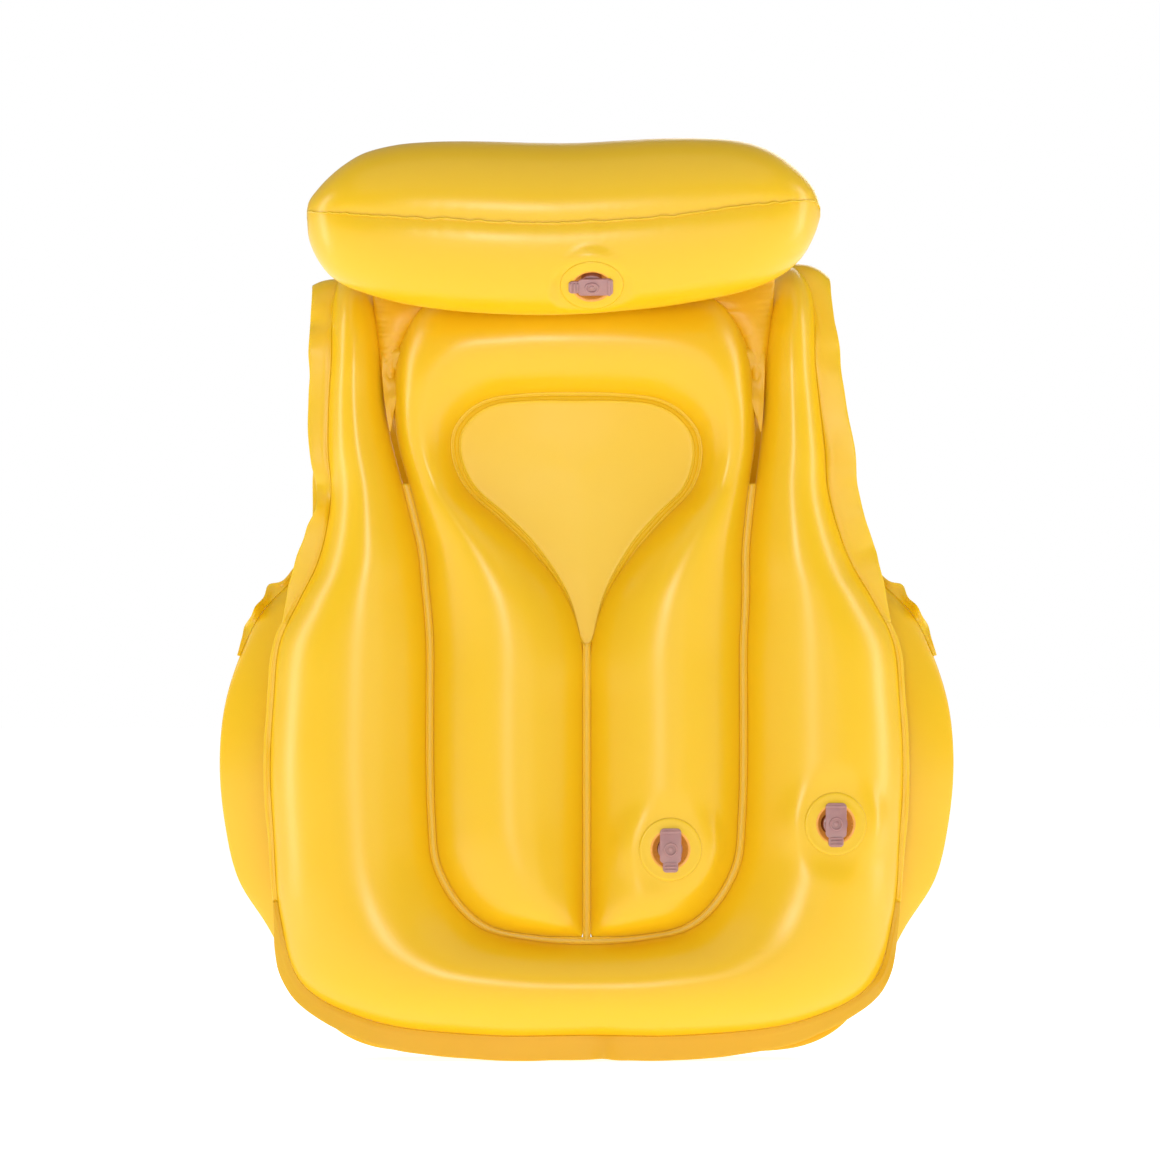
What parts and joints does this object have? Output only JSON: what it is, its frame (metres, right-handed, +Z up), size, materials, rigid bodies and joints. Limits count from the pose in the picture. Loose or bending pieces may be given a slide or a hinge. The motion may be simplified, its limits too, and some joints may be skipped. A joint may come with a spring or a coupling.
{
  "type": "inflatable life jacket",
  "caption": "Child's inflatable life jacket with a two-chamber back panel, hinged front panels, a head pillow, push-in valves and side-release buckles.",
  "frame": {"origin": "middle of the jacket's outline at the hem, on the surface it stands on", "axes": "+Z up to the shoulders, +X to the wearer's right, +Y the way the wearer faces"},
  "size_m": [0.442, 0.226, 0.5504],
  "materials": {
    "film": "glossy inflated PVC film",
    "weld": "pressed weld of two films",
    "valve": "translucent soft vinyl",
    "webbing": "woven polyester webbing",
    "buckle": "moulded acetal"
  },
  "bodies": {
    "back_panel": {"back_outer_chamber": "film", "back_inner_chamber": "film", "back_teardrop_panel": "film", "back_ring_weld": "weld", "back_centre_weld": "weld", "back_hem_flange": "weld", "armhole_flange_left": "weld", "armhole_flange_right": "weld", "neck_flange_left": "weld", "neck_flange_right": "weld", "side_weld_left": "weld", "side_weld_right": "weld", "pillow_web": "weld", "valve_inner_base": "valve", "valve_outer_base": "valve"},
    "head_pillow": {"pillow_chamber": "film", "pillow_seam_weld": "weld", "valve_pillow_base": "valve"},
    "front_panel_left": {"front_left_chamber": "film", "front_left_hem_flange": "weld", "front_left_opening_flange": "weld", "front_left_armhole_flange": "weld", "strap_patch_lower_left": "film", "strap_lower_left": "webbing", "strap_patch_upper_left": "film", "strap_upper_left": "webbing", "buckle_socket_lower": "buckle", "buckle_socket_upper": "buckle"},
    "front_panel_right": {"front_right_chamber": "film", "front_right_hem_flange": "weld", "front_right_opening_flange": "weld", "front_right_armhole_flange": "weld", "strap_patch_lower_right": "film", "strap_lower_right": "webbing", "strap_patch_upper_right": "film", "strap_upper_right": "webbing"},
    "clip_lower": {"buckle_clip_lower": "buckle"},
    "clip_upper": {"buckle_clip_upper": "buckle"},
    "stem_inner": {"valve_inner_stem": "valve"},
    "stopper_inner": {"valve_inner_stopper": "valve"},
    "check_flap_inner": {"valve_inner_flap": "valve"},
    "stem_outer": {"valve_outer_stem": "valve"},
    "stopper_outer": {"valve_outer_stopper": "valve"},
    "check_flap_outer": {"valve_outer_flap": "valve"},
    "stem_pillow": {"valve_pillow_stem": "valve"},
    "stopper_pillow": {"valve_pillow_stopper": "valve"},
    "check_flap_pillow": {"valve_pillow_flap": "valve"}
  },
  "joints": [
    {"name": "pillow_fold", "type": "hinge", "parent": "back_panel", "child": "head_pillow", "pos_m": [0, -0.02444, 0.499], "axis": [-1, 0, 0], "range_deg": [0, 60]},
    {"name": "front_left_open", "type": "hinge", "parent": "back_panel", "child": "front_panel_left", "pos_m": [-0.193, 0.00166, 0.20049], "axis": [0, 0, 1], "range_deg": [0, 60], "stiffness_Nm_per_rad": 0.15},
    {"name": "front_right_open", "type": "hinge", "parent": "back_panel", "child": "front_panel_right", "pos_m": [0.193, 0.00166, 0.20049], "axis": [0, 0, -1], "range_deg": [0, 60], "stiffness_Nm_per_rad": 0.15},
    {"name": "clip_lower_slide", "type": "slide", "parent": "front_panel_right", "child": "clip_lower", "axis": [1, 0, 0], "range_m": [-0.02, 0]},
    {"name": "clip_upper_slide", "type": "slide", "parent": "front_panel_right", "child": "clip_upper", "axis": [1, 0, 0], "range_m": [-0.02, 0]},
    {"name": "stem_inner_slide", "type": "slide", "parent": "back_panel", "child": "stem_inner", "axis": [0.1128, -0.9931, -0.0334], "range_m": [0, 0.01]},
    {"name": "stopper_inner_hinge", "type": "hinge", "parent": "stem_inner", "child": "stopper_inner", "pos_m": [0.05011, -0.04786, 0.13945], "axis": [-0.9936, -0.1127, -0.0038], "range_deg": [0, 130]},
    {"name": "check_flap_inner_hinge", "type": "hinge", "parent": "stem_inner", "child": "check_flap_inner", "pos_m": [0.04768, -0.02616, 0.13278], "axis": [0.9936, 0.1127, 0.0038], "range_deg": [0, 45], "stiffness_Nm_per_rad": 0.00002},
    {"name": "stem_outer_slide", "type": "slide", "parent": "back_panel", "child": "stem_outer", "axis": [0.1941, -0.981, -0.0077], "range_m": [0, 0.01]},
    {"name": "stopper_outer_hinge", "type": "hinge", "parent": "stem_outer", "child": "stopper_outer", "pos_m": [0.14919, -0.03608, 0.15449], "axis": [-0.981, -0.1941, -0.0015], "range_deg": [0, 130]},
    {"name": "check_flap_outer_hinge", "type": "hinge", "parent": "stem_outer", "child": "check_flap_outer", "pos_m": [0.145, -0.01484, 0.14725], "axis": [0.981, 0.1941, 0.0015], "range_deg": [0, 45], "stiffness_Nm_per_rad": 0.00002},
    {"name": "stem_pillow_slide", "type": "slide", "parent": "head_pillow", "child": "stem_pillow", "axis": [0.0184, -0.7368, -0.6759], "range_m": [0, 0.01]},
    {"name": "stopper_pillow_hinge", "type": "hinge", "parent": "stem_pillow", "child": "stopper_pillow", "pos_m": [0.01502, -0.09386, 0.46275], "axis": [0, -0.676, 0.7369], "range_deg": [0, 130]},
    {"name": "check_flap_pillow_hinge", "type": "hinge", "parent": "stem_pillow", "child": "check_flap_pillow", "pos_m": [0.00722, -0.07805, 0.47726], "axis": [0, 0.676, -0.7369], "range_deg": [0, 45], "stiffness_Nm_per_rad": 0.00002}
  ]
}
